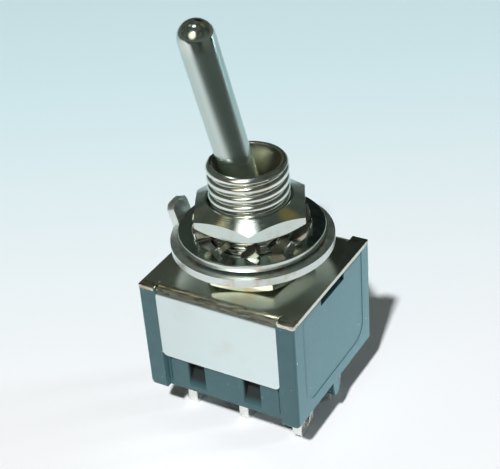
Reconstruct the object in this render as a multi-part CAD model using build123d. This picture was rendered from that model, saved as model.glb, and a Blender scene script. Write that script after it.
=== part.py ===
from build123d import *
from math import cos, radians, sin, sqrt, tan
import os

# Miniature two-pole toggle switch with its mounting nuts and washers, in millimetres.
# Origin: the bushing's axis at the plate's top face. +Z runs up the bushing.
# The lever swings in the XZ plane and is built leaning to -X. The two poles lie at -Y and +Y.

# Small amount by which a cutting shape runs past what it cuts
OVER = 0.5

# Case and its walls
CASE_X = 13.0
CASE_Y = 12.2
CASE_H = 9.4
SIDE_WALL = 1.2
END_WALL = 2.0
CAVITY_R = 0.4
CASE_CORNER_R = 0.2
POST_FOOT_R = 0.35

# Folded cover frame
SHEET = 0.35
LEG_WIDTH = 10.1
LEG_DROP = 6.15
LEG_CORNER_R = 0.45
BEND_R = 0.5
RELIEF_WIDTH = 0.12
RELIEF_DEPTH = 0.6
PLATE_CORNER_R = 0.12
LEG_GAP = 0.05

# Details moulded in the leg recesses
SKIRT_RISE = 0.15
POCKET_X = 2.4
POCKET_WIDTH = 1.5
POCKET_DEPTH = 1.3
POCKET_TOP = 4.6
POCKET_STEP = 7.5
POCKET_FOOT = 8.75
POST_GROOVE = 0.15
POST_GROOVE_DEPTH = 0.45
LINE_GROOVE = 0.1
LINE_GROOVE_DEPTH = 0.25
LINE_GROOVE_RIB = 0.15
LINE_GROOVE_FOOT = 8.75

# Details moulded in the side faces
PANEL_SUNK = 0.05
PANEL_INSET = 1.3
PANEL_R = 1.4
NOTCH_WIDTH = 3.7
NOTCH_HEIGHT = 0.65

# Well under the base, with the rib that parts the poles
WELL_SIDE_WALL = 0.9
WELL_DEPTH = 0.8
RIB_WIDTH = 1.0
RIB_TIP_WIDTH = 0.6
RIB_DROP = 1.1
RIB_TAPER = 0.9
INNER_RIB_RISE = 0.7
SEAL_THICKNESS = 0.3

# Threaded bushing
THREAD_D = 6.0
BUSHING_TOP = 8.73
BUSHING_CHAMFER = 0.21
FLANGE_D = 8.0
FLANGE_T = 0.9
PLATE_HOLE_FIT = 0.03
KEYWAY_WIDTH = 1.0
KEYWAY_DEPTH = 0.3

# Lever, measured from its pivot
PIVOT_Z = 4.55
THROW = 14.1
LEVER_REACH = 13.4
LEVER_TIP_D = 2.76
LEVER_NECK_D = 2.6
BALL_D = 3.9
ARM_D = 2.3
ARM_REACH = 7.2
ARM_BORE_D = 1.6
ARM_BORE_TOP = 2.6
ARM_CHAMFER = 0.15
PIN_D = 1.0
PIN_LENGTH = 4.7
PIN_CHAMFER = 0.08
BALL_FIT = 0.03
MOUTH_RISE = 0.49
PIN_FIT = 0.03
PRESS_GAP = 0.005
LEVER_STOP_GAP = 0.05

# Plunger and spring in the lever's arm
PLUNGER_FIT = 0.03
PLUNGER_TIP_REACH = 8.4
PLUNGER_SHANK = 2.4
STEM_D = 0.8
STEM_LENGTH = 0.8
SPRING_D = 1.16
WIRE_D = 0.22
SPRING_TURNS = 3.5
SPRING_SEAT_GAP = 0.02

# See-saw contacts and their carrier
TILT = 8.0
FULCRUM_Z = -5.63
POLE_Y = 2.4
BLADE_INSET = 0.6
BLADE_WIDTH = 2.4
BLADE_T = 0.35
BLADE_END_R = 0.5
FULCRUM_FIT = 0.02
CONTACT_GAP = 0.02
CARRIER_X = 5.2
CARRIER_Y = 7.6
CARRIER_TOP = 2.7
CARRIER_R = 0.5
TRACK_WIDTH = 2.0
TRACK_GAP = 0.02
CHEEK_DROP = 0.3
CHEEK_FIT = 0.03
HUMP_FIT = 0.04

# Solder lugs
LUG_INSET = 1.8
LUG_WIDTH = 2.0
LUG_T = 0.8
LUG_TIP = 3.5
LUG_CORNER_R = 0.35
LUG_HOLE_D = 0.85
LUG_HOLE_RISE = 1.0
LUG_FIT = 0.03
TONGUE_LENGTH = 1.7

# Mounting hardware on the bushing
NUT_AF = 8.0
NUT_T = 1.9
NUT_FACE_D = 6.4
NUT_CONE_SLOPE = 0.5
NUT_BORE_FIT = 0.04
BACK_NUT_TURN = 16.0
LOCK_NUT_TURN = -61.6
RING_BORE_FIT = 0.15
RING_T = 0.6
RING_TURN = 3.0
KEY_WIDTH = 0.65
KEY_FIT = 0.12
TAB_WIDTH = 2.0
TAB_TOP_R = 0.6
TAB_HEIGHT = 2.2
TAB_LEAN = 15.0
TAB_GAP = 0.03
WASHER_D = 10.94
WASHER_BAND = 1.1
WASHER_T = 0.55
WASHER_LIFT = 0.2
TOOTH_COUNT = 10
TOOTH_FIT = 0.25
TOOTH_ROOT = 0.12
TOOTH_WIDTH = 1.45
TOOTH_T = 0.5
TOOTH_TWIST = 38.0
TOOTH_TURN = -62.0
STACK_GAP = 0.04

# Least metal left inside a folded corner
FOLD_SKIN = 0.1

# Levels and sizes that follow from the ones above
CASE_BOTTOM = -CASE_H
RECESS = SHEET + LEG_GAP
LEG_HALF = LEG_WIDTH / 2
WELL_TOP = CASE_BOTTOM + WELL_DEPTH
BORE_R = BALL_D / 2 + BALL_FIT
PLUNGER_R = ARM_BORE_D / 2 - PLUNGER_FIT
LUG_X = CASE_X / 2 - LUG_INSET
BLADE_HALF = LUG_X - BLADE_INSET
TONGUE_TOP = FULCRUM_Z - BLADE_HALF * sin(radians(TILT)) - CONTACT_GAP
FLOOR_Z = TONGUE_TOP - LUG_T
LUG_BOTTOM = CASE_BOTTOM - LUG_TIP
CAVITY_HALF_X = CASE_X / 2 - SIDE_WALL
CAVITY_HALF_Y = CASE_Y / 2 - END_WALL
RING_D = WASHER_D + 2 * (RING_T + TAB_GAP)
RING_BORE_R = THREAD_D / 2 + RING_BORE_FIT
RING_BOTTOM = NUT_T
RING_TOP = RING_BOTTOM + RING_T
TOOTH_RISE = (TOOTH_WIDTH * sin(radians(TOOTH_TWIST)) + TOOTH_T * cos(radians(TOOTH_TWIST))) / 2
TOOTH_MID = RING_TOP + STACK_GAP + TOOTH_RISE
LOCK_NUT_BOTTOM = TOOTH_MID + TOOTH_RISE + STACK_GAP


def block(x0, x1, y0, y1, z0, z1):
    """Box between two corners."""
    centre = ((x0 + x1) / 2, (y0 + y1) / 2, (z0 + z1) / 2)
    return Pos(*centre) * Box(x1 - x0, y1 - y0, z1 - z0)


def upright(radius, z0, z1):
    """Cylinder on the Z axis between two levels."""
    return Pos(0, 0, (z0 + z1) / 2) * Cylinder(radius, z1 - z0)


def cone(r0, r1, z0, z1):
    """Cone on the Z axis from radius r0 at z0 to r1 at z1."""
    return Pos(0, 0, (z0 + z1) / 2) * Cone(r0, r1, z1 - z0)


def along_y(radius, length):
    """Cylinder on the Y axis, centred."""
    return Rot(90, 0, 0) * Cylinder(radius, length)


def prism_x(points, length):
    """Outline of (y, z) points extruded along X, centred."""
    face = Plane.YZ * make_face(Polyline(*points, close=True))
    return extrude(face, amount=length / 2, both=True)


def on_both(shape, plane):
    """The shape with its mirror image in the plane."""
    return shape + mirror(shape, about=plane)


def case_recess():
    """What the front leg's recess, its grooves and its pockets take from the case."""
    face = -CASE_Y / 2
    low = CASE_BOTTOM - OVER
    out = face - OVER
    cut = block(-LEG_HALF, LEG_HALF, out, face + RECESS, low, OVER)
    groove_in = LEG_HALF - POST_GROOVE
    groove = block(groove_in, LEG_HALF, out, face + POST_GROOVE_DEPTH + RECESS, low, OVER)
    line_x = groove_in - LINE_GROOVE_RIB
    line_depth = face + RECESS + LINE_GROOVE_DEPTH
    groove += block(line_x - LINE_GROOVE, line_x, out, line_depth, -LINE_GROOVE_FOOT, OVER)
    deep = face + POCKET_DEPTH
    ramp = face + RECESS
    outline = [(out, -POCKET_TOP), (deep, -POCKET_TOP), (deep, -POCKET_STEP)]
    outline += [(ramp, -POCKET_FOOT), (out, -POCKET_FOOT)]
    pocket = Pos(POCKET_X, 0, 0) * prism_x(outline, POCKET_WIDTH)
    rise = block(-LEG_HALF, LEG_HALF, out, 0, low, CASE_BOTTOM + SKIRT_RISE)
    return cut + on_both(groove + pocket, Plane.YZ) + rise


def case_side_panel():
    """Shallow panel and the notch under the plate, cut in the right side face."""
    face = CASE_X / 2
    half = CASE_Y / 2 - PANEL_INSET
    foot = CASE_BOTTOM + PANEL_INSET
    height = OVER + PANEL_R - foot
    sketch = Plane.YZ * Pos(0, foot + height / 2) * RectangleRounded(2 * half, height, PANEL_R)
    panel = Pos(face - PANEL_SUNK, 0, 0) * extrude(sketch, amount=OVER)
    depth = SIDE_WALL + OVER
    notch_foot = -SHEET - NOTCH_HEIGHT
    notch = block(face - depth, face + OVER, -NOTCH_WIDTH / 2, NOTCH_WIDTH / 2, notch_foot, OVER)
    return panel + notch


def lug_slots():
    """Slots through the base for the six lugs."""
    half_x = LUG_T / 2 + LUG_FIT
    half_y = LUG_WIDTH / 2 + LUG_FIT
    slot = block(-half_x, half_x, -half_y, half_y, LUG_BOTTOM - OVER, FLOOR_Z + OVER)
    places = [(x, y) for x in (-LUG_X, 0, LUG_X) for y in (-POLE_Y, POLE_Y)]
    return [Pos(x, y, 0) * slot for x, y in places]


def barrier_rib():
    """Rib under the base between the poles, narrower at its foot."""
    half = RIB_WIDTH / 2
    tip = RIB_TIP_WIDTH / 2
    foot = CASE_BOTTOM - RIB_DROP
    side = [(half, WELL_TOP + OVER), (half, foot + RIB_TAPER), (tip, foot)]
    return prism_x(side + [(-y, z) for y, z in reversed(side)], CASE_X)


def case_shell():
    """Outer block of the case with rounded corner posts."""
    shell = block(-CASE_X / 2, CASE_X / 2, -CASE_Y / 2, CASE_Y / 2, CASE_BOTTOM, -SHEET)
    shell = fillet(shell.edges().filter_by(Axis.Y).group_by(Axis.Z)[0], POST_FOOT_R)
    shell = fillet(shell.edges().filter_by(Axis.Z), CASE_CORNER_R)
    cavity = block(-CAVITY_HALF_X, CAVITY_HALF_X, -CAVITY_HALF_Y, CAVITY_HALF_Y, FLOOR_Z, OVER)
    cavity = fillet(cavity.edges().filter_by(Axis.Z), CAVITY_R)
    well_x = CASE_X / 2 - WELL_SIDE_WALL
    well_y = CASE_Y / 2 - END_WALL
    well = block(-well_x, well_x, -well_y, well_y, CASE_BOTTOM - OVER, WELL_TOP)
    return shell - cavity - well


def case():
    """Moulded housing."""
    half = RIB_WIDTH / 2
    rib_top = FLOOR_Z + INNER_RIB_RISE
    body = case_shell()
    body += block(-CAVITY_HALF_X, CAVITY_HALF_X, -half, half, FLOOR_Z - OVER, rib_top)
    body -= on_both(case_recess(), Plane.XZ)
    body -= on_both(case_side_panel(), Plane.YZ)
    body += barrier_rib()
    for slot in lug_slots():
        body -= slot
    wall = -CASE_Y / 2 + RECESS
    top = OVER - SHEET
    reach = LEG_GAP + SHEET + OVER
    bevel = [(wall - OVER, top), (wall + reach, top), (wall - OVER, -SHEET - reach)]
    return body - on_both(prism_x(bevel, LEG_WIDTH), Plane.XZ)


def folded_legs():
    """Channel-shaped sheet: top plate width of the legs, with both legs folded down."""
    height = LEG_DROP
    outer = block(-LEG_HALF, LEG_HALF, -CASE_Y / 2, CASE_Y / 2, -height, 0)
    outer = fillet(outer.edges().filter_by(Axis.X).group_by(Axis.Z)[-1], BEND_R)
    half = CASE_Y / 2 - SHEET
    inner = block(-LEG_HALF - OVER, LEG_HALF + OVER, -half, half, -height - OVER, -SHEET)
    inner = fillet(inner.edges().filter_by(Axis.X).group_by(Axis.Z)[-1], BEND_R - SHEET)
    rise = height + 2 * LEG_CORNER_R
    sketch = Plane.XZ * Pos(0, rise / 2 - height) * RectangleRounded(LEG_WIDTH, rise, LEG_CORNER_R)
    return (outer - inner) & extrude(sketch, amount=CASE_Y, both=True)


def cover_frame():
    """Top plate and the two legs, folded from one sheet."""
    plate = block(-CASE_X / 2, CASE_X / 2, -CASE_Y / 2, CASE_Y / 2, -SHEET, 0)
    plate = fillet(plate.edges().filter_by(Axis.Z), PLATE_CORNER_R)
    reach = LEG_HALF + RELIEF_WIDTH
    inner = CASE_Y / 2 - RELIEF_DEPTH
    relief = block(-reach, reach, -CASE_Y / 2 - OVER, -inner, -SHEET - OVER, OVER)
    frame = plate - on_both(relief, Plane.XZ) + folded_legs()
    return frame - upright(THREAD_D / 2 + PLATE_HOLE_FIT, -SHEET - OVER, OVER)


def funnel_radius(height):
    """Radius of the bushing's mouth at a height above the pivot, clear of the leaning lever."""
    lean = radians(THROW)
    return height * tan(lean) + LEVER_TIP_D / 2 / cos(lean) + LEVER_STOP_GAP


def arm_room(depth):
    """Radius of the bore at a depth under the pivot, clear of the leaning arm."""
    lean = radians(THROW)
    return depth * tan(lean) + ARM_D / 2 / cos(lean) + LEVER_STOP_GAP


def bushing_bore():
    """Funnel mouth, ball seat, straight bore and lower flare of the bushing."""
    foot = -SHEET - FLANGE_T - OVER
    top = BUSHING_TOP + OVER
    bore = upright(BORE_R, foot, PIVOT_Z) + Pos(0, 0, PIVOT_Z) * Sphere(BORE_R)
    bore += cone(funnel_radius(MOUTH_RISE), funnel_radius(top - PIVOT_Z), PIVOT_Z + MOUTH_RISE, top)
    flare = (BORE_R - arm_room(0)) / tan(radians(THROW))
    return bore + cone(arm_room(PIVOT_Z - foot), BORE_R, foot, PIVOT_Z - flare)


def bushing():
    """Threaded neck with its flange. The thread itself is left plain here."""
    radius = THREAD_D / 2
    body = upright(FLANGE_D / 2, -SHEET - FLANGE_T, -SHEET)
    body += chamfer(upright(radius, -SHEET, BUSHING_TOP).edges().group_by(Axis.Z)[-1], BUSHING_CHAMFER)
    pin_r = PIN_D / 2 + PIN_FIT
    length = PIN_LENGTH + 2 * PIN_FIT
    slot = block(-pin_r, pin_r, -length / 2, length / 2, -SHEET - FLANGE_T - OVER, PIVOT_Z)
    slot += Pos(0, 0, PIVOT_Z) * along_y(pin_r, length)
    half = KEYWAY_WIDTH / 2
    keyway = block(-radius - OVER, KEYWAY_DEPTH - radius, -half, half, 0, BUSHING_TOP + OVER)
    return body - bushing_bore() - slot - keyway


def leaning(shape):
    """Turns a shape built upright about the pivot into the lever's rest lean."""
    return Pos(0, 0, PIVOT_Z) * Rot(0, -THROW, 0) * shape


def lever():
    """Bat, pivot ball and bored lower arm, turned from one bar."""
    tip_r = LEVER_TIP_D / 2
    bat = cone(LEVER_NECK_D / 2, tip_r, 0, LEVER_REACH) + Pos(0, 0, LEVER_REACH) * Sphere(tip_r)
    arm = upright(ARM_D / 2, -ARM_REACH, 0)
    arm = chamfer(arm.edges().group_by(Axis.Z)[0], ARM_CHAMFER)
    body = bat + arm + Sphere(BALL_D / 2)
    body -= upright(ARM_BORE_D / 2, -ARM_REACH - OVER, -ARM_BORE_TOP)
    return leaning(body - along_y(PIN_D / 2 + PRESS_GAP, BALL_D + OVER))


def pivot_pin():
    """Cross pin whose ends turn in the bushing's slots."""
    pin = along_y(PIN_D / 2, PIN_LENGTH)
    return leaning(chamfer(pin.edges().filter_by(GeomType.CIRCLE), PIN_CHAMFER))


def plunger_top():
    """Height of the plunger's shoulder, from the pivot."""
    return PLUNGER_R - PLUNGER_TIP_REACH + PLUNGER_SHANK


def plunger():
    """Round-ended plunger with a stem that the spring sits on."""
    tip = PLUNGER_R - PLUNGER_TIP_REACH
    top = plunger_top()
    body = Pos(0, 0, tip) * Sphere(PLUNGER_R) + upright(PLUNGER_R, tip, top)
    return leaning(body + upright(STEM_D / 2, top, top + STEM_LENGTH))


def lever_spring():
    """Coil between the plunger's shoulder and the end of the arm's bore."""
    foot = plunger_top() + WIRE_D / 2 + SPRING_SEAT_GAP
    length = -ARM_BORE_TOP - WIRE_D / 2 - SPRING_SEAT_GAP - foot
    path = Helix(length / SPRING_TURNS, length, SPRING_D / 2)
    start = Plane(path @ 0, z_dir=path % 0)
    coil = sweep(start * Circle(WIRE_D / 2), path=path, is_frenet=True)
    return leaning(Pos(0, 0, foot) * coil)


def tilted(shape):
    """Turns a shape built level about the fulcrum into the rest tilt, right side down."""
    return Pos(0, 0, FULCRUM_Z) * Rot(0, TILT, 0) * shape


def blade_hump_radius():
    """Inner radius of the blade's hump over the fulcrum."""
    return LUG_T / 2 + FULCRUM_FIT


def contact_blade(side):
    """See-saw blade with a hump that sits on the centre lug."""
    inner = blade_hump_radius()
    blade = block(-BLADE_HALF, BLADE_HALF, -BLADE_WIDTH / 2, BLADE_WIDTH / 2, 0, BLADE_T)
    blade = fillet(blade.edges().filter_by(Axis.Z), BLADE_END_R)
    hump = along_y(inner + BLADE_T, BLADE_WIDTH)
    hump &= block(-OVER - inner, OVER + inner, -BLADE_WIDTH, BLADE_WIDTH, 0, 2 * inner + OVER)
    blade = blade + hump - along_y(inner, BLADE_WIDTH + OVER)
    return tilted(Pos(0, side * POLE_Y, 0) * blade)


def track_point(lean):
    """Centre of the plunger's round end in the level carrier, at a lean of the lever."""
    reach = PLUNGER_TIP_REACH - PLUNGER_R
    turn = radians(-TILT * lean / THROW)
    x = -reach * sin(radians(lean))
    z = PIVOT_Z - FULCRUM_Z - reach * cos(radians(lean))
    return x * cos(turn) - z * sin(turn), x * sin(turn) + z * cos(turn)


def carrier_track():
    """Dished track that the plunger's round end runs along."""
    low = track_point(0)[1]
    side_x, side_z = track_point(-THROW)
    rise = side_z - low
    radius = (side_x**2 + rise**2) / (2 * rise)
    return Pos(0, 0, low + radius) * along_y(radius + PLUNGER_R + TRACK_GAP, TRACK_WIDTH)


def rocker():
    """Plastic carrier that sits on both blades and holds their edges."""
    half_y = CARRIER_Y / 2
    body = block(-CARRIER_X / 2, CARRIER_X / 2, -half_y, half_y, -CHEEK_DROP, CARRIER_TOP)
    body = fillet(body.edges().filter_by(Axis.Y).group_by(Axis.Z)[-1], CARRIER_R)
    half = BLADE_WIDTH / 2 + CHEEK_FIT
    bed = block(-CARRIER_X, CARRIER_X, -half, half, -CHEEK_DROP - OVER, BLADE_T)
    bed += along_y(blade_hump_radius() + BLADE_T + HUMP_FIT, 2 * half)
    for side in (-1, 1):
        body -= Pos(0, side * POLE_Y, 0) * bed
    body -= block(-CARRIER_X, CARRIER_X, -POLE_Y + half, POLE_Y - half, -CHEEK_DROP - OVER, BLADE_T)
    return tilted(body - carrier_track())


def lug_outline():
    """Strip seen along X, with rounded corners and the wire hole, extruded wide enough for any lug."""
    height = OVER - LUG_BOTTOM + LUG_CORNER_R
    middle = LUG_BOTTOM + height / 2
    sketch = Plane.YZ * Pos(0, middle) * RectangleRounded(LUG_WIDTH, height, LUG_CORNER_R)
    hole = Pos(0, 0, LUG_BOTTOM + LUG_HOLE_RISE) * Rot(0, 90, 0) * Cylinder(LUG_HOLE_D / 2, 2 * CASE_X)
    return extrude(sketch, amount=CASE_X, both=True) - hole


def centre_terminal(side):
    """Straight lug whose rounded upper end is the blade's fulcrum."""
    half = LUG_T / 2
    body = block(-half, half, -LUG_WIDTH / 2, LUG_WIDTH / 2, LUG_BOTTOM, FULCRUM_Z)
    body += Pos(0, 0, FULCRUM_Z) * along_y(half, LUG_WIDTH)
    return Pos(0, side * POLE_Y, 0) * (body & lug_outline())


def end_terminal(end, side):
    """Lug folded inwards at its top into the tongue that the blade lands on."""
    half = LUG_T / 2
    root = half - TONGUE_LENGTH
    shank = block(-half, half, -LUG_WIDTH / 2, LUG_WIDTH / 2, LUG_BOTTOM, TONGUE_TOP)
    shank += block(root, half, -LUG_WIDTH / 2, LUG_WIDTH / 2, FLOOR_Z, TONGUE_TOP)
    corner = shank.edges().filter_by(Axis.Y).group_by(Axis.Z)[-1].sort_by(Axis.X)[-1]
    shank = fillet(corner, LUG_T - FOLD_SKIN)
    body = Pos(LUG_X, 0, 0) * shank
    if end < 0:
        body = mirror(body, about=Plane.YZ)
    return Pos(0, side * POLE_Y, 0) * (body & lug_outline())


def seal(side):
    """Resin pool round the lugs of one pole."""
    half_x = CASE_X / 2 - WELL_SIDE_WALL
    inner = RIB_WIDTH / 2
    outer = CASE_Y / 2 - END_WALL
    low, high = sorted((side * inner, side * outer))
    pool = block(-half_x, half_x, low, high, WELL_TOP - SEAL_THICKNESS, WELL_TOP)
    for slot in lug_slots():
        pool -= slot
    return pool


def nut(turn, bottom):
    """Thin hexagon nut, coned on both faces."""
    across = NUT_AF / sqrt(3)
    rim = across + OVER
    face_r = NUT_FACE_D / 2
    drop = (rim - face_r) * NUT_CONE_SLOPE
    half = [(0, 0, 0), (face_r, 0, 0), (rim, 0, drop)]
    half += [(x, 0, NUT_T - z) for x, _, z in reversed(half)]
    cones = revolve(make_face(Polyline(*half, close=True)), axis=Axis.Z)
    body = extrude(RegularPolygon(across, 6), amount=NUT_T) & cones
    bore = THREAD_D / 2 + NUT_BORE_FIT
    return Pos(0, 0, bottom) * Rot(0, 0, turn) * (body - upright(bore, -OVER, NUT_T + OVER))


def hex_nuts():
    """Backing nut on the plate and locking nut over the washer."""
    return Compound(children=[nut(BACK_NUT_TURN, 0), nut(LOCK_NUT_TURN, LOCK_NUT_BOTTOM)])


def ring_tab():
    """Tab bent up at the ring's edge, round-cornered, leaning outwards."""
    strip = block(0, RING_T, -TAB_WIDTH / 2, TAB_WIDTH / 2, 0, TAB_HEIGHT)
    strip = fillet(strip.edges().filter_by(Axis.X).group_by(Axis.Z)[-1], TAB_TOP_R)
    return Pos(-RING_D / 2, 0, 0) * Rot(0, -TAB_LEAN, 0) * strip


def locating_ring():
    """Flat ring with a key for the bushing's slot and an outer tab bent up."""
    body = upright(RING_D / 2, 0, RING_T) - upright(RING_BORE_R, -OVER, RING_T + OVER)
    key_end = THREAD_D / 2 - KEYWAY_DEPTH + KEY_FIT
    body += block(-RING_BORE_R - OVER, -key_end, -KEY_WIDTH / 2, KEY_WIDTH / 2, 0, RING_T)
    return Pos(0, 0, RING_BOTTOM) * Rot(0, 0, RING_TURN) * (body + ring_tab())


def lock_washer():
    """Ring with teeth on its inner edge, each twisted about its own length."""
    band_r = WASHER_D / 2 - WASHER_BAND
    bottom = RING_TOP + WASHER_LIFT
    top = bottom + WASHER_T
    body = upright(WASHER_D / 2, bottom, top) - upright(band_r, bottom - OVER, top + OVER)
    inner = THREAD_D / 2 + TOOTH_FIT
    root = band_r + TOOTH_ROOT
    tooth = Rot(TOOTH_TWIST, 0, 0) * Box(root - inner, TOOTH_WIDTH, TOOTH_T)
    tooth = Pos((root + inner) / 2, 0, TOOTH_MID) * tooth
    for index in range(TOOTH_COUNT):
        body += Rot(0, 0, TOOTH_TURN + index * 360 / TOOTH_COUNT) * tooth
    return body


def terminals():
    """The six lugs by name."""
    named = {}
    for pole, side in (("front", -1), ("rear", 1)):
        named[f"terminal_{pole}_left"] = end_terminal(-1, side)
        named[f"terminal_{pole}_centre"] = centre_terminal(side)
        named[f"terminal_{pole}_right"] = end_terminal(1, side)
    return named


parts = {
    "case": case(),
    "cover_frame": cover_frame(),
    "bushing": bushing(),
    "lever": lever(),
    "pivot_pin": pivot_pin(),
    "lever_spring": lever_spring(),
    "plunger": plunger(),
    "rocker": rocker(),
    "contact_blade_front": contact_blade(-1),
    "contact_blade_rear": contact_blade(1),
    "seal_front": seal(-1),
    "seal_rear": seal(1),
    "hex_nuts": hex_nuts(),
    "locating_ring": locating_ring(),
    "lock_washer": lock_washer(),
    **terminals(),
}

os.makedirs("parts", exist_ok=True)
for name, shape in parts.items():
    export_step(shape, f"parts/{name}.step")
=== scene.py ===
import math

import bpy
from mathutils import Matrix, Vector


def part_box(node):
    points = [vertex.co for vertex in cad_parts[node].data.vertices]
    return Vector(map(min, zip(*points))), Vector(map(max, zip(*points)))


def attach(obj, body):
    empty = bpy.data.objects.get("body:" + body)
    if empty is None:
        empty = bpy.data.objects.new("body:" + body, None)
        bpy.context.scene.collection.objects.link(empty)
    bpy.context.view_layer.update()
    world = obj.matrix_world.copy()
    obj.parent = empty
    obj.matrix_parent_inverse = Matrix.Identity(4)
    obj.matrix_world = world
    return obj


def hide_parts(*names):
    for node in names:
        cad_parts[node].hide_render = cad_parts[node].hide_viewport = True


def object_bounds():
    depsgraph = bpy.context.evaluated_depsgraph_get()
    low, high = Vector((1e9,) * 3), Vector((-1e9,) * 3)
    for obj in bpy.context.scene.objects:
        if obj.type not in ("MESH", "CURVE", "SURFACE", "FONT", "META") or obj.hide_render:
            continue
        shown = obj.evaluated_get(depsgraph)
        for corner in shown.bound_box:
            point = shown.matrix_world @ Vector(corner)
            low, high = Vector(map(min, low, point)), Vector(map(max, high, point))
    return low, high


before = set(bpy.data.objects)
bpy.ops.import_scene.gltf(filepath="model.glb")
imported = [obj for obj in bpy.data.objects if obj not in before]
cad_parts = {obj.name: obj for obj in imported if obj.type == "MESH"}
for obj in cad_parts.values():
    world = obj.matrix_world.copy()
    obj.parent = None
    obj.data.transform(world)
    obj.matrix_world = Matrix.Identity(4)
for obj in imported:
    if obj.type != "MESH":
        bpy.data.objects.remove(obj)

cad_box = [list(corner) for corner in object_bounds()]

MM = 0.001
TURN = 2 * math.pi

# Camera solved from the photograph, in millimetres and degrees
CAMERA_PLACE = (40.45, -64.62, 51.14)
CAMERA_ANGLES = (57.32, 3.94, 29.67)
CAMERA_LENS = 88.27

# Switch sizes, in millimetres and degrees, as in the part's source
THREAD_R = 3.0
THREAD_ROOT_R = 2.56
THREAD_PITCH = 0.75
PIVOT = (0, 0, 4.55)
LEAN = 14.1
BALL_R = 1.95
PIN_R = 0.505
NUT_ACROSS = 8.0
NUT_HEIGHT = 1.9
LOCK_NUT_TURN = -61.6
BACK_NUT_TURN = 16.0
SHEET = 0.35
SHEET_EDGE = 6.1
FOLD_R = 0.5
RELIEF_IN = 5.5
POCKET_X = 2.4

# Sizes that only the finished look has, in millimetres
SOFT_FOLD_R = 0.85
SOFT_RELIEF_IN = 5.2
THREAD_LAND = 0.05
THREAD_TURNS = 12
MERGED = 1e-7
SHORTEST_EDGE = 0.02


# ---- colours and nodes

EASED = {"interpolation_type": "SMOOTHSTEP"}
EASED_NOISE = {**EASED, 1: 0.3, 2: 0.7}
RISING = {3: 0.0, 4: 1.0}
FALLING = {3: 1.0, 4: 0.0}
COLOURS = {"data_type": "RGBA"}


def linear(code, alpha=1.0):
    """Linear colour of an sRGB hex value."""
    parts = [int(code[i:i + 2], 16) / 255 for i in (1, 3, 5)]
    curve = [c / 12.92 if c <= 0.04045 else ((c + 0.055) / 1.055) ** 2.4 for c in parts]
    return (*curve, alpha)


def node(tree, kind, settings, links=None):
    """Outputs of a new node with its settings and links. A whole number names an input by its place."""
    made = tree.nodes.new("ShaderNode" + kind)
    for key, value in settings.items():
        if isinstance(key, int) or key in made.inputs:
            made.inputs[key].default_value = value
        else:
            setattr(made, key, value)
    for key, socket in (links or {}).items():
        tree.links.new(socket, made.inputs[key])
    return made.outputs


def plug(tree, shader, **sockets):
    """Links sockets to the shader's inputs, whose names are written with _ for a space."""
    for name, socket in sockets.items():
        tree.links.new(socket, shader.inputs[name.replace("_", " ")])


def blank(name):
    """New material with its tree, its surface shader and object coordinates in millimetres."""
    material = bpy.data.materials.new(name)
    material.use_nodes = True
    tree = material.node_tree
    place = node(tree, "TexCoord", {})["Object"]
    coord = node(tree, "Mapping", {"Scale": (1 / MM, 1 / MM, 1 / MM)}, {"Vector": place})[0]
    return material, tree, tree.nodes["Principled BSDF"], coord


def from_axis(tree, coord):
    """Distance from the switch's upright axis, in millimetres."""
    flat = node(tree, "Mapping", {"Scale": (1, 1, 0)}, {"Vector": coord})[0]
    return node(tree, "VectorMath", {"operation": "LENGTH"}, {0: flat})["Value"]


def refinish(tree, shader, zone, colour, rough):
    """Gives the zone of a plated metal a colour and a roughness of its own."""
    clean, gloss = (shader.inputs[key].links[0].from_socket for key in ("Base Color", "Roughness"))
    skin = node(tree, "Mix", {**COLOURS, 7: linear(colour)}, {0: zone, 6: clean})[2]
    dull = node(tree, "Mix", {3: rough}, {0: zone, 2: gloss})[0]
    plug(tree, shader, Base_Color=skin, Roughness=dull)


# ---- materials


def mirror_metal(name, clean, stained, stains_per_mm, polish, grain_per_mm, grain_depth):
    """Plated metal: a mirror with a faint stain, fine grain and a roughness that wanders a little."""
    material, tree, shader, coord = blank(name)
    shader.inputs["Metallic"].default_value = 1.0
    cells = node(tree, "TexNoise", {"Scale": stains_per_mm, "Detail": 4}, {"Vector": coord})[0]
    haze = node(tree, "MapRange", {**EASED, **RISING, 1: 0.52, 2: 0.8}, {0: cells})[0]
    skin = node(tree, "Mix", {**COLOURS, 6: linear(clean), 7: linear(stained)}, {0: haze})[2]
    scaled = node(tree, "Mapping", {"Scale": grain_per_mm}, {"Vector": coord})[0]
    grain = node(tree, "TexNoise", {"Scale": 1.0, "Detail": 2}, {"Vector": scaled})[0]
    gloss = node(tree, "MapRange", {**EASED_NOISE, 3: polish[0], 4: polish[1]}, {0: grain})[0]
    relief = node(tree, "Bump", {"Distance": grain_depth * MM}, {"Height": grain})[0]
    plug(tree, shader, Base_Color=skin, Roughness=gloss, Normal=relief)
    return material, tree, shader, coord


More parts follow.
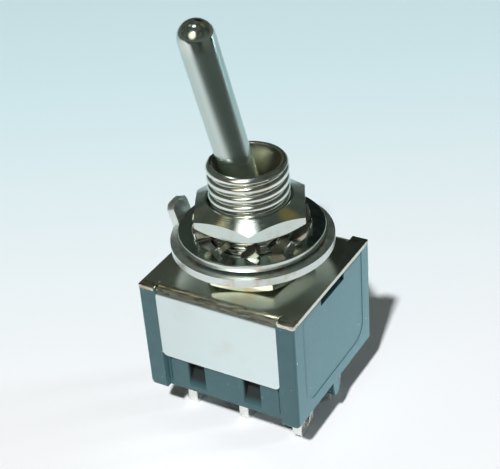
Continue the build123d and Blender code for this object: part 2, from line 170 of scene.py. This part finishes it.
def nickel_plated_sheet():
    """Nickel on rolled sheet: a soft mirror with the grain of rolling, with a yellower top that is a painted warm
    reflection, brown specks, and brown streaks along the folds that are partly drawing marks and partly painted dark
    reflection."""
    material, tree, shader, coord = mirror_metal(
        "nickel plated rolled sheet", "#d5e2e2", "#cfd8d2", 0.4, (0.2, 0.26), (1, 9, 9), 0.00002)
    plain = shader.inputs["Base Color"].links[0].from_socket
    x, y, z = node(tree, "SeparateXYZ", {}, {0: coord})
    # Painted warm reflection: the top face is given a yellower colour than the rest of the sheet.
    top = node(tree, "MapRange", {**EASED, **RISING, 1: -0.75, 2: -0.25}, {0: z})[0]
    # Brown streaks along the bends, 0.8 mm long and 0.15 mm wide, coarser than real drawing marks so that they show;
    # they are partly drawing marks and partly painted dark reflection.
    scaled = node(tree, "Mapping", {"Scale": (1.2, 7, 7)}, {"Vector": coord})[0]
    drawn = node(tree, "TexNoise", {"Scale": 1.0, "Detail": 3}, {"Vector": scaled})[0]
    streak = node(tree, "MapRange", {**EASED, **RISING, 1: 0.45, 2: 0.62}, {0: drawn})[0]
    out = node(tree, "Math", {"operation": "ABSOLUTE"}, {0: y})[0]
    near = node(tree, "MapRange", {**EASED, 1: 5.2, 2: 5.45, 3: 0.0, 4: 0.8}, {0: out})[0]
    fold = node(tree, "Math", {"operation": "MULTIPLY"}, {0: streak, 1: near})[0]
    clean = node(tree, "Mix", {**COLOURS, 6: linear("#d8d9cc"), 7: linear("#8a7a5c")}, {0: fold})[2]
    face = node(tree, "Mix", {**COLOURS, 6: linear("#d5e2e2")}, {0: top, 7: clean})[2]
    cells = node(tree, "TexNoise", {"Scale": 5.0, "Detail": 2}, {"Vector": coord})[0]
    speck = node(tree, "MapRange", {**EASED, **RISING, 1: 0.72, 2: 0.76}, {0: cells})[0]
    specked = node(tree, "Mix", {**COLOURS, 7: linear("#6b4a38")}, {0: speck, 6: face})[2]
    plug(tree, shader, Base_Color=node(tree, "Mix", COLOURS, {0: top, 6: plain, 7: specked})[2])
    return material


def nickel_plated_brass():
    """Bright nickel on turned brass: fine lathe rings outside, a duller and yellower bore."""
    material, tree, shader, coord = mirror_metal(
        "nickel plated turned brass", "#dce1da", "#cdc4ac", 0.8, (0.08, 0.18), (0.4, 0.4, 12), 0.0003)
    bore = node(tree, "MapRange", {**EASED, **FALLING, 1: 2.4, 2: 2.62}, {0: from_axis(tree, coord)})[0]
    refinish(tree, shader, bore, "#c6c4b2", 0.3)
    return material


def nickel_plated_nut():
    """Bright nickel on a cut hexagon nut: clean flats, and cones with the rings of the cutter near the bore."""
    material, tree, shader, coord = mirror_metal(
        "bright nickel plated nut", "#c8d3cd", "#c4bdac", 0.7, (0.1, 0.18), (3, 3, 3), 0.0004)
    reach = from_axis(tree, coord)
    # Cutter rings 0.3 mm apart, coarser than the real ones so that they show
    line = node(tree, "CombineXYZ", {}, {0: reach})[0]
    rings = node(tree, "TexNoise", {"Scale": 3.4, "Detail": 3}, {"Vector": line})[0]
    fade = node(tree, "MapRange", {**EASED, **FALLING, 1: 3.3, 2: 4.1}, {0: reach})[0]
    height = node(tree, "Math", {"operation": "MULTIPLY"}, {0: rings, 1: fade})[0]
    plug(tree, shader, Normal=node(tree, "Bump", {"Distance": 0.03 * MM}, {"Height": height})[0])
    return material


def stamped_washer_steel():
    """Nickel on stamped steel: a mirror on the band, duller and brown on the twisted teeth inside it."""
    material, tree, shader, coord = mirror_metal(
        "nickel plated stamped steel", "#ccd5cf", "#bfb3a6", 0.9, (0.1, 0.18), (2, 2, 2), 0.0004)
    teeth = node(tree, "MapRange", {**EASED, **FALLING, 1: 4.2, 2: 4.5}, {0: from_axis(tree, coord)})[0]
    refinish(tree, shader, teeth, "#8f8c80", 0.34)
    return material


def stamped_ring_steel():
    """Duller nickel on the thick ring: a soft, faintly brownish skin that spreads the light."""
    return mirror_metal("dull nickel plated ring", "#d6deda", "#bfae9e", 0.9, (0.3, 0.42), (2, 2, 2), 0.00002)[0]


def satin_lever_nickel():
    """Satin nickel on the bat, rubbed bright on its tip by the finger: fine rings run round it."""
    material, tree, shader, coord = blank("satin nickel plated lever")
    shader.inputs["Metallic"].default_value = 1.0
    local = node(tree, "Mapping", {"Rotation": (0, math.radians(LEAN), 0)}, {"Vector": coord})[0]
    x, y, z = node(tree, "SeparateXYZ", {}, {0: local})
    worn = node(tree, "MapRange", {**EASED, **RISING, 1: 16.6, 2: 17.8}, {0: z})[0]
    scaled = node(tree, "Mapping", {"Scale": (0.5, 0.5, 14)}, {"Vector": local})[0]
    rings = node(tree, "TexNoise", {"Scale": 1.0, "Detail": 3}, {"Vector": scaled})[0]
    skin = node(tree, "Mix", {**COLOURS, 6: linear("#bccac5"), 7: linear("#ccd3cd")}, {0: worn})[2]
    satin = node(tree, "MapRange", {**EASED_NOISE, 3: 0.22, 4: 0.25}, {0: rings})[0]
    gloss = node(tree, "MapRange", {1: 0.0, 2: 1.0, 4: 0.1}, {0: worn, 3: satin})[0]
    relief = node(tree, "Bump", {"Distance": 0.00002 * MM}, {"Height": rings})[0]
    plug(tree, shader, Base_Color=skin, Roughness=gloss, Normal=relief)
    return material


def moulded_thermoset():
    """Moulded phenolic: dark green-grey with a waxy sheen, faintly mottled, with dust caught in it, and with painted
    shade in the lug pockets, which are darkened to near black and lose their sheen."""
    material, tree, shader, coord = blank("moulded thermoset")
    clouds = node(tree, "TexNoise", {"Scale": 1.6, "Detail": 4}, {"Vector": coord})[0]
    mottle = node(tree, "MapRange", {**EASED_NOISE, **RISING}, {0: clouds})[0]
    body = node(tree, "Mix", {**COLOURS, 6: linear("#2b4d52"), 7: linear("#305257")}, {0: mottle})[2]
    x, y, z = node(tree, "SeparateXYZ", {}, {0: coord})
    # Painted shade: the lug pockets are darkened to near black and their sheen is turned off.
    out = node(tree, "Math", {"operation": "ABSOLUTE"}, {0: y})[0]
    along = node(tree, "Math", {"operation": "ABSOLUTE"}, {0: x})[0]
    shift = node(tree, "Math", {"operation": "SUBTRACT", 1: POCKET_X}, {0: along})[0]
    aside = node(tree, "Math", {"operation": "ABSOLUTE"}, {0: shift})[0]
    painted_pocket_shade = node(tree, "MapRange", {**EASED, **FALLING, 1: 5.3, 2: 5.7}, {0: out})[0]
    for value, start, stop in ((z, -4.9, -4.5), (aside, 0.74, 0.82)):
        bound = node(tree, "MapRange", {**EASED, **FALLING, 1: start, 2: stop}, {0: value})[0]
        painted_pocket_shade = node(tree, "Math", {"operation": "MULTIPLY"}, {0: painted_pocket_shade, 1: bound})[0]
    shaded = node(tree, "Mix", {**COLOURS, 7: linear("#101a1c")}, {0: painted_pocket_shade, 6: body})[2]
    cells = node(tree, "TexNoise", {"Scale": 4.2, "Detail": 1}, {"Vector": coord})[0]
    dust = node(tree, "MapRange", {**EASED, **RISING, 1: 0.77, 2: 0.8}, {0: cells})[0]
    dusty = node(tree, "Mix", {**COLOURS, 7: linear("#b4c8c9")}, {0: dust, 6: shaded})[2]
    sheen = node(tree, "MapRange", {**EASED, 1: 0.0, 2: 1.0, 3: 0.75, 4: 0.0}, {0: painted_pocket_shade})[0]
    skin = node(tree, "TexNoise", {"Scale": 14.0, "Detail": 3}, {"Vector": coord})[0]
    gloss = node(tree, "MapRange", {**EASED_NOISE, 3: 0.36, 4: 0.46}, {0: skin})[0]
    relief = node(tree, "Bump", {"Distance": 0.0008 * MM}, {"Height": skin})[0]
    plug(tree, shader, Base_Color=dusty, Sheen_Weight=sheen, Roughness=gloss, Normal=relief)
    shader.inputs["Sheen Roughness"].default_value = 0.4
    shader.inputs["Sheen Tint"].default_value = linear("#9fd4de")
    return material


def tinned_brass():
    """Hot-tinned brass lug: bright, with the soft waves of the tin that ran down it."""
    return mirror_metal("hot tinned brass", "#e9ebe6", "#cfccbc", 1.2, (0.22, 0.36), (2.2, 2.2, 0.8), 0.004)[0]


def silvered_brass():
    """Silver flash on a stamped contact blade: pale, with straw-coloured tarnish."""
    return mirror_metal("silver plated contact", "#e8e4da", "#c8b58f", 0.9, (0.16, 0.28), (6, 6, 6), 0.0006)[0]


def natural_acetal():
    """Natural acetal: milky white, waxy, with a faint flow pattern."""
    material, tree, shader, coord = blank("natural acetal")
    scaled = node(tree, "Mapping", {"Scale": (1, 0.4, 1)}, {"Vector": coord})[0]
    flow = node(tree, "TexNoise", {"Scale": 1.2, "Detail": 3}, {"Vector": scaled})[0]
    streak = node(tree, "MapRange", {**EASED_NOISE, **RISING}, {0: flow})[0]
    skin = node(tree, "Mix", {**COLOURS, 6: linear("#e6e3d8"), 7: linear("#dedacc")}, {0: streak})[2]
    gloss = node(tree, "MapRange", {**EASED_NOISE, 3: 0.3, 4: 0.42}, {0: flow})[0]
    plug(tree, shader, Base_Color=skin, Roughness=gloss)
    shader.inputs["Subsurface Weight"].default_value = 0.1
    return material


def potting_resin():
    """Dark potting resin: glossy, drawn up a little at its edges, with small bubbles."""
    material, tree, shader, coord = blank("potting resin")
    waves = node(tree, "TexNoise", {"Scale": 1.5, "Detail": 3}, {"Vector": coord})[0]
    cloud = node(tree, "MapRange", {**EASED_NOISE, **RISING}, {0: waves})[0]
    skin = node(tree, "Mix", {**COLOURS, 6: linear("#1c2224"), 7: linear("#262d2f")}, {0: cloud})[2]
    relief = node(tree, "Bump", {"Distance": 0.03 * MM}, {"Height": waves})[0]
    plug(tree, shader, Base_Color=skin, Normal=relief)
    shader.inputs["Roughness"].default_value = 0.16
    return material


def ground_pin_steel():
    """Ground steel pin: grey, with fine lines round it."""
    return mirror_metal("ground steel pin", "#b4b6b4", "#8f908e", 2.0, (0.16, 0.28), (1, 18, 1), 0.0004)[0]


def drawn_spring_wire():
    """Drawn spring wire: darker grey, with a fine even grain."""
    return mirror_metal("drawn spring wire", "#a4a5a3", "#7f7c76", 2.0, (0.2, 0.34), (9, 9, 9), 0.0004)[0]


SHEET_NICKEL = nickel_plated_sheet()
TURNED_NICKEL = nickel_plated_brass()
NUT_NICKEL = nickel_plated_nut()
WASHER_NICKEL = stamped_washer_steel()
RING_NICKEL = stamped_ring_steel()
LEVER_NICKEL = satin_lever_nickel()
THERMOSET = moulded_thermoset()
TIN = tinned_brass()
SILVER = silvered_brass()
ACETAL = natural_acetal()
RESIN = potting_resin()
PIN_STEEL = ground_pin_steel()
SPRING_STEEL = drawn_spring_wire()


# ---- modelling by operators


def alone(piece):
    """Makes a piece the only selected and active object."""
    bpy.ops.object.select_all(action="DESELECT")
    piece.select_set(True)
    bpy.context.view_layer.objects.active = piece


def finish_modifier(piece, kind, **settings):
    """Adds a modifier with its settings and applies it."""
    modifier = piece.modifiers.new(kind.lower(), kind)
    for key, value in settings.items():
        setattr(modifier, key, value)
    alone(piece)
    bpy.ops.object.modifier_apply(modifier=modifier.name)


def smooth(piece, angle):
    """Smooth shading that leaves the edges sharper than an angle."""
    alone(piece)
    bpy.ops.object.shade_smooth_by_angle(angle=math.radians(angle))


def even(piece, angle):
    """Smooth shading whose flat faces stay flat up to their softened edges."""
    smooth(piece, angle)
    finish_modifier(piece, "WEIGHTED_NORMAL", keep_sharp=True, weight=100)


def outwards():
    """In edit mode, merges doubles and turns all faces outwards."""
    bpy.ops.mesh.select_all(action="SELECT")
    bpy.ops.mesh.remove_doubles(threshold=MERGED)
    bpy.ops.mesh.normals_make_consistent(inside=False)


def outline(name, points):
    """Closed outline of (r, z) points in millimetres, drawn by extruding one vertex. Stays in edit mode."""
    bpy.ops.object.select_all(action="DESELECT")
    bpy.ops.mesh.primitive_plane_add(size=MM)
    piece = bpy.context.object
    piece.name = name
    bpy.ops.object.mode_set(mode="EDIT")
    bpy.ops.mesh.merge(type="COLLAPSE")
    last = Vector((points[0][0], 0, points[0][1])) * MM
    bpy.ops.transform.translate(value=last)
    for r, z in points[1:] + points[:1]:
        spot = Vector((r, 0, z)) * MM
        bpy.ops.mesh.extrude_region_move(TRANSFORM_OT_translate={"value": spot - last})
        last = spot
    bpy.ops.mesh.select_all(action="SELECT")
    bpy.ops.mesh.remove_doubles(threshold=MERGED)
    return piece


def turned(name, points, steps):
    """Solid of revolution about the Z axis from a closed outline."""
    piece = outline(name, points)
    bpy.ops.mesh.spin(steps=steps, angle=TURN, center=(0, 0, 0), axis=(0, 0, 1))
    outwards()
    bpy.ops.object.mode_set(mode="OBJECT")
    return piece


def arc(centre_r, centre_z, radius, start, stop, count):
    """Points of an arc in the (r, z) plane, angles in degrees from the r axis."""
    angles = [math.radians(start + (stop - start) * i / count) for i in range(count + 1)]
    return [(centre_r + radius * math.cos(a), centre_z + radius * math.sin(a)) for a in angles]


def cut(piece, tool, operation="DIFFERENCE"):
    """Boolean of one piece with a tool, which is then removed."""
    finish_modifier(piece, "BOOLEAN", object=tool, operation=operation, solver="EXACT")
    bpy.data.objects.remove(tool)


def rotate_points(piece, angle, axis, centre):
    """Turns a mesh by its points about an axis through a centre, by minus the angle in degrees."""
    alone(piece)
    bpy.ops.object.mode_set(mode="EDIT")
    bpy.ops.mesh.select_all(action="SELECT")
    bpy.ops.transform.rotate(value=math.radians(angle), orient_axis=axis, center_override=centre)
    bpy.ops.object.mode_set(mode="OBJECT")


def settle(piece, material, body, slot, *nodes):
    """Gives a finished piece its material and body, and hides the nodes that it stands for. The slot is not used."""
    piece.data.materials.clear()
    piece.data.materials.append(material)
    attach(piece, body)
    if nodes:
        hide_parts(*nodes)


# ---- bushing and lever


def thread_cutter():
    """Helical groove, swept by a screw, that leaves the thread as rounded bands between thin dark roots."""
    half, depth = THREAD_PITCH / 2, THREAD_R - THREAD_ROOT_R
    flank = [(THREAD_R + 0.15, half - THREAD_LAND)]
    for step in (0.0, 0.15, 0.35, 0.55, 0.72, 0.86, 0.95, 1.0):
        r = THREAD_R - depth * (1 - math.sqrt(1 - step * step))
        flank.append((r, (half - THREAD_LAND) * (1 - step)))
    piece = outline("thread_tool", flank + [(r, -z) for r, z in reversed(flank[:-1])])
    bpy.ops.object.mode_set(mode="OBJECT")
    finish_modifier(piece, "SCREW", axis="Z", angle=TURN, screw_offset=THREAD_PITCH * MM, iterations=THREAD_TURNS,
                    steps=72, render_steps=72, use_merge_vertices=False)
    alone(piece)
    bpy.ops.object.mode_set(mode="EDIT")
    bpy.ops.mesh.select_all(action="SELECT")
    bpy.ops.mesh.remove_doubles(threshold=MERGED)
    bpy.ops.mesh.select_all(action="DESELECT")
    bpy.ops.mesh.select_mode(type="VERT")
    bpy.ops.mesh.select_non_manifold()
    bpy.ops.mesh.fill_holes(sides=40)
    outwards()
    bpy.ops.object.mode_set(mode="OBJECT")
    return piece


def make_bushing():
    """Threaded neck with its funnel mouth, seat, flange and keyway."""
    flange = [(2.71, -1.25), (3.95, -1.25), (4.0, -1.2), (4.0, -0.4), (3.95, -0.35), (THREAD_R, -0.35)]
    lip = [(THREAD_R, 8.45), (2.96, 8.55), (2.86, 8.68), (2.79, 8.72), (2.7, 8.73), (2.6, 8.72), (2.53, 8.68)]
    funnel_and_seat = [(2.49, 8.58), (1.72, 5.55), (1.98, 4.55), (1.98, 1.6)]
    piece = turned("bushing_threaded_neck", flange + lip + funnel_and_seat, 120)
    cut(piece, thread_cutter())
    bpy.ops.object.select_all(action="DESELECT")
    bpy.ops.mesh.primitive_cube_add(size=1, location=(-3.2 * MM, 0, 4.6 * MM), scale=(1.0 * MM, 1.0 * MM, 9.2 * MM))
    cut(piece, bpy.context.object)
    smooth(piece, 32)
    settle(piece, TURNED_NICKEL, "switch_body", "bushing_metal", "bushing")


def make_lever():
    """Bat with its domed tip, pivot ball and bored arm, turned as one and leant over."""
    arm = [(0.8, -7.2), (1.0, -7.2), (1.15, -7.05), (1.15, -1.575)]
    ball = arc(0, 0, BALL_R, -53.86, 48.0, 24)
    bat = [(1.3, 1.6)] + arc(0, 13.4, 1.38, 0, 84, 14) + [(0, 14.78)]
    bore = [(0, -2.6), (0.8, -2.6)]
    piece = turned("lever_bat", [(r, h + PIVOT[2]) for r, h in arm + ball + bat + bore], 96)
    bpy.ops.object.select_all(action="DESELECT")
    pivot = Vector(PIVOT) * MM
    bpy.ops.mesh.primitive_cylinder_add(vertices=48, radius=PIN_R * MM, depth=4.4 * MM,
                                        location=pivot, rotation=(math.pi / 2, 0, 0))
    cut(piece, bpy.context.object)
    rotate_points(piece, LEAN, "Y", pivot)
    smooth(piece, 40)
    settle(piece, LEVER_NICKEL, "lever_body", "lever_metal", "lever")


make_bushing()
make_lever()


# ---- CAD nodes get their finish, and smooth shading on their round faces


def dress(name, material):
    """Material for a CAD node, with its round faces smoothed."""
    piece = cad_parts[name]
    piece.data.materials.clear()
    piece.data.materials.append(material)
    weld = piece.modifiers.new("weld", "WELD")
    weld.merge_threshold = 1e-6
    split = piece.modifiers.new("edges", "EDGE_SPLIT")
    split.split_angle = math.radians(30)
    for face in piece.data.polygons:
        face.use_smooth = True


LUGS = [f"terminal_{pole}_{place}" for pole in ("front", "rear") for place in ("left", "centre", "right")]
DRESSED = {"pivot_pin": PIN_STEEL, "lever_spring": SPRING_STEEL, "plunger": ACETAL, "rocker": ACETAL,
           "contact_blade_front": SILVER, "contact_blade_rear": SILVER, "seal_front": RESIN,
           "seal_rear": RESIN, "lever": LEVER_NICKEL, "hex_nuts": NUT_NICKEL, "locating_ring": RING_NICKEL,
           "lock_washer": WASHER_NICKEL, "bushing": TURNED_NICKEL, "case": THERMOSET,
           "cover_frame": SHEET_NICKEL, **{lug: TIN for lug in LUGS}}
for part_name, finish in DRESSED.items():
    dress(part_name, finish)


# ---- nuts


def make_nut(name, turn, bottom, *under):
    """Thin hexagon nut coned on top and, by the points given, below, with its bore's edges broken."""
    top = NUT_HEIGHT
    bore_foot, bore_head = [(3.04, 0.06), (3.12, 0)], [(3.2, top), (3.12, top), (3.04, top - 0.06)]
    cone = bore_foot + list(under) + [(4.9, 1.05)] + bore_head
    piece = turned(name, [(r, h + bottom) for r, h in cone], 144)
    bpy.ops.object.select_all(action="DESELECT")
    centre = Vector((0, 0, bottom + top / 2)) * MM
    corner_r = NUT_ACROSS / math.sqrt(3) * MM
    bpy.ops.mesh.primitive_cylinder_add(vertices=6, radius=corner_r, depth=3 * MM, location=centre)
    tool = bpy.context.object
    rotate_points(tool, 30 - turn, "Z", centre)
    cut(piece, tool, "INTERSECT")
    return piece


LOCK_NUT_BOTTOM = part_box("hex_nuts")[1].z / MM - NUT_HEIGHT
settle(make_nut("nut_lock", LOCK_NUT_TURN, LOCK_NUT_BOTTOM, (3.2, 0), (4.9, 0.85)),
       NUT_NICKEL, "switch_body", "nut_metal", "hex_nuts")
settle(make_nut("nut_backing", BACK_NUT_TURN, 0, (3.85, 0), (4.9, 0.53)),
       NUT_NICKEL, "switch_body", "nut_metal", "hex_nuts")
for nut in ("nut_lock", "nut_backing"):
    even(bpy.data.objects[nut], 25)


# ---- softened copies of CAD nodes


def pick(piece, wanted):
    """Selects the points of a piece for which a test of their place in millimetres holds. Stays in edit mode."""
    alone(piece)
    bpy.ops.object.mode_set(mode="EDIT")
    bpy.ops.mesh.select_mode(type="VERT")
    bpy.ops.mesh.select_all(action="DESELECT")
    bpy.ops.object.mode_set(mode="OBJECT")
    for point in piece.data.vertices:
        point.select = wanted(*(point.co / MM))
    bpy.ops.object.mode_set(mode="EDIT")


def widen_folds(piece):
    """Opens both folds of the sheet to the large radius of a soft bend, about their sharp corners, and deepens the
    reliefs beside them."""
    for side in (-1, 1):
        pick(piece, lambda x, y, z: 5.0 < abs(x) < 5.2 and abs(side * y - RELIEF_IN) < 0.02)
        bpy.ops.transform.translate(value=(0, side * (SOFT_RELIEF_IN - RELIEF_IN) * MM, 0))
        bpy.ops.object.mode_set(mode="OBJECT")
        for depth in (0.0, SHEET):
            edge, old, new = SHEET_EDGE - depth, FOLD_R - depth, SOFT_FOLD_R - depth

            def in_fold(x, y, z):
                """Whether a point of the leg's width lies on the rounded face of the fold."""
                out, up = side * y - edge, z + depth
                return (abs(x) < 5.1 and -old - 0.01 < out < 0.001 and -old - 0.01 < up < 0.001
                        and math.hypot(out + old, up + old) > old - 0.01)

            pick(piece, in_fold)
            corner = Vector((0, side * edge, -depth)) * MM
            bpy.ops.transform.resize(value=(1, new / old, new / old), center_override=corner)
            bpy.ops.object.mode_set(mode="OBJECT")


def softened_copy(name, source, width, shape):
    """Copy of a CAD node with its edges broken as tumbling or moulding leaves them."""
    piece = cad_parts[source].copy()
    piece.data = piece.data.copy()
    piece.name = name
    piece.parent = None
    piece.modifiers.clear()
    for key in list(piece.keys()):
        del piece[key]
    bpy.context.scene.collection.objects.link(piece)
    alone(piece)
    bpy.ops.object.mode_set(mode="EDIT")
    bpy.ops.mesh.select_all(action="SELECT")
    bpy.ops.mesh.remove_doubles(threshold=1e-6)
    bpy.ops.mesh.dissolve_limited(angle_limit=math.radians(1.0))
    bpy.ops.mesh.remove_doubles(threshold=SHORTEST_EDGE * MM)
    bpy.ops.mesh.normals_make_consistent(inside=False)
    bpy.ops.object.mode_set(mode="OBJECT")
    if shape:
        shape(piece)
    finish_modifier(piece, "BEVEL", width=width * MM, segments=2, limit_method="ANGLE",
                    angle_limit=math.radians(40), use_clamp_overlap=source not in LUGS)
    even(piece, 20)
    return piece


SOFTENED = (("cover_frame_folded", "cover_frame", 0.05, widen_folds, SHEET_NICKEL, "frame_plate"),
            ("washer_toothed", "lock_washer", 0.08, None, WASHER_NICKEL, "washer_steel"),
            *((lug + "_tinned", lug, 0.05, None, TIN, "lug_metal") for lug in LUGS))
for piece_name, source, width, shape, finish, slot_name in SOFTENED:
    settle(softened_copy(piece_name, source, width, shape), finish, "switch_body", slot_name, source)


# ---- floor, light and camera

PALE_SWEEP = "#e4eff2"
CAMERA_AWAY = (-0.533, 0.846, 0)
MIRRORED_AWAY = (0.766, -0.643, 0)

# What the metals mirror: azimuth, elevation, full and faded angle in degrees, colour and added power
ROOM_LIGHTS = ((-84, 36, 8, 28, "#fff8e2", 0.7),  # warm wall in front
               (66, 52, 0, 12, "#7d7248", 0),  # yellow glow behind
               (178, 62, 1, 8, "#d2cda8", 0),  # pale gold band over the folds
               (110, 33, 4, 17, "#101918", 0),  # dark corner that the plate mirrors
               (180, 84, 0, 12, "#ffffff", 1.8))  # lamp overhead


def make_floor():
    """Large pale floor whose colour goes from near white to a cool tint away from the camera. What the metals mirror
    of it is dim far to the right, and the camera sees its far part melt into the pale backdrop."""
    bpy.ops.object.select_all(action="DESELECT")
    bpy.ops.mesh.primitive_plane_add(size=4.0, location=(0, 0, cad_box[0][2]))
    floor = bpy.context.object
    floor.name = "floor"
    material, tree, shader, coord = blank("pale paper")
    shader.inputs["Roughness"].default_value = 0.9
    shader.inputs["Specular IOR Level"].default_value = 0.1
    rays = node(tree, "LightPath", {})
    away = node(tree, "VectorMath", {"operation": "DOT_PRODUCT", 1: CAMERA_AWAY}, {0: coord})["Value"]
    tint = node(tree, "MapRange", {**EASED, **RISING, 1: -12.0, 2: 72.0}, {0: away})[0]
    paper = node(tree, "Mix", {**COLOURS, 6: linear("#f7f8fb"), 7: linear("#dcf6fc")}, {0: tint})[2]
    reach = node(tree, "VectorMath", {"operation": "DOT_PRODUCT", 1: MIRRORED_AWAY}, {0: coord})["Value"]
    far = node(tree, "MapRange", {**EASED, **RISING, 1: 20.0, 2: 100.0}, {0: reach})[0]
    dim = node(tree, "Math", {"operation": "MULTIPLY"}, {0: rays["Is Glossy Ray"], 1: far})[0]
    plug(tree, shader, Base_Color=node(tree, "Mix", {**COLOURS, 7: linear("#3b413d")}, {0: dim, 6: paper})[2])
    wide = node(tree, "VectorMath", {"operation": "LENGTH"}, {0: coord})["Value"]
    edge = node(tree, "MapRange", {**EASED, **RISING, 1: 120.0, 2: 420.0}, {0: wide})[0]
    fade = node(tree, "Math", {"operation": "MULTIPLY"}, {0: rays["Is Camera Ray"], 1: edge})[0]
    sweep = node(tree, "Emission", {"Color": linear(PALE_SWEEP)})[0]
    surface = node(tree, "MixShader", {}, {0: fade, 1: shader.outputs[0], 2: sweep})[0]
    tree.links.new(surface, tree.nodes["Material Output"].inputs["Surface"])
    floor.data.materials.append(material)


def make_world():
    """Dim room that the metals mirror, with its lights. Other surfaces get a flat dim light from it, and the camera
    sees the pale backdrop."""
    world = bpy.data.worlds.new("dim room")
    bpy.context.scene.world = world
    world.use_nodes = True
    tree = world.node_tree
    up = node(tree, "TexCoord", {})["Generated"]
    x, y, z = node(tree, "SeparateXYZ", {}, {0: up})
    rise = node(tree, "MapRange", {**EASED, **RISING, 1: 0.0, 2: 0.4}, {0: z})[0]
    waves = node(tree, "TexNoise", {"Scale": 2.4, "Detail": 2}, {"Vector": up})[0]
    cloud = node(tree, "MapRange", {**EASED, **RISING, 1: 0.35, 2: 0.65}, {0: waves})[0]
    walls = node(tree, "Mix", {**COLOURS, 6: linear("#3a433f"), 7: linear("#5d6157")}, {0: cloud})[2]
    room = node(tree, "Mix", {**COLOURS, 6: linear("#6a716b")}, {0: rise, 7: walls})[2]
    power = node(tree, "Value", {})[0]
    power.default_value = 1.0
    for azimuth, elevation, full, faded, colour, extra in ROOM_LIGHTS:
        a, e = math.radians(azimuth), math.radians(elevation)
        aim = (math.cos(a) * math.cos(e), math.sin(a) * math.cos(e), math.sin(e))
        near = node(tree, "VectorMath", {"operation": "DOT_PRODUCT", 1: aim}, {0: up})["Value"]
        outer, inner = math.cos(math.radians(faded)), math.cos(math.radians(full))
        spot = node(tree, "MapRange", {**EASED, **RISING, 1: outer, 2: inner}, {0: near})[0]
        room = node(tree, "Mix", {**COLOURS, 7: linear(colour)}, {0: spot, 6: room})[2]
        if extra:
            power = node(tree, "Math", {"operation": "MULTIPLY_ADD", 1: extra}, {0: spot, 2: power})[0]
    rays = node(tree, "LightPath", {})
    plain = node(tree, "Mix", {**COLOURS, 6: linear("#3c3b2c"), 7: linear(PALE_SWEEP)}, {0: rays["Is Camera Ray"]})[2]
    seen = node(tree, "Mix", COLOURS, {0: rays["Is Glossy Ray"], 6: plain, 7: room})[2]
    gain = node(tree, "Mix", {2: 1.0}, {0: rays["Is Glossy Ray"], 3: power})[0]
    plug(tree, tree.nodes["Background"], Color=seen, Strength=gain)


def make_lamp(name, place, target, size, power, colour="#ffffff", mirrored=True):
    """Square soft lamp at a place, facing a target, in millimetres."""
    data = bpy.data.lights.new(name, "AREA")
    data.size = size * MM
    data.energy = power
    data.color = linear(colour)[:3]
    lamp = bpy.data.objects.new(name, data)
    bpy.context.scene.collection.objects.link(lamp)
    lamp.location = Vector(place) * MM
    lamp.rotation_euler = (Vector(target) - Vector(place)).to_track_quat("-Z", "Y").to_euler()
    lamp.visible_glossy = mirrored


def make_camera():
    """Camera at the photograph's place."""
    data = bpy.data.cameras.new("camera")
    data.lens = CAMERA_LENS
    data.sensor_width = 36.0
    data.clip_start = 0.005
    data.clip_end = 10.0
    camera = bpy.data.objects.new("camera", data)
    bpy.context.scene.collection.objects.link(camera)
    camera.location = Vector(CAMERA_PLACE) * MM
    camera.rotation_euler = [math.radians(a) for a in CAMERA_ANGLES]
    bpy.context.scene.camera = camera


make_floor()
make_world()
make_camera()
make_lamp("key", (85, -368, 466), (0, 0, 0), 30, 4.15)
make_lamp("side", (430, 361, 30), (0, 0, -5), 90, 3.0, "#e8f4ff", mirrored=False)
bpy.context.scene.view_settings.view_transform = "Standard"
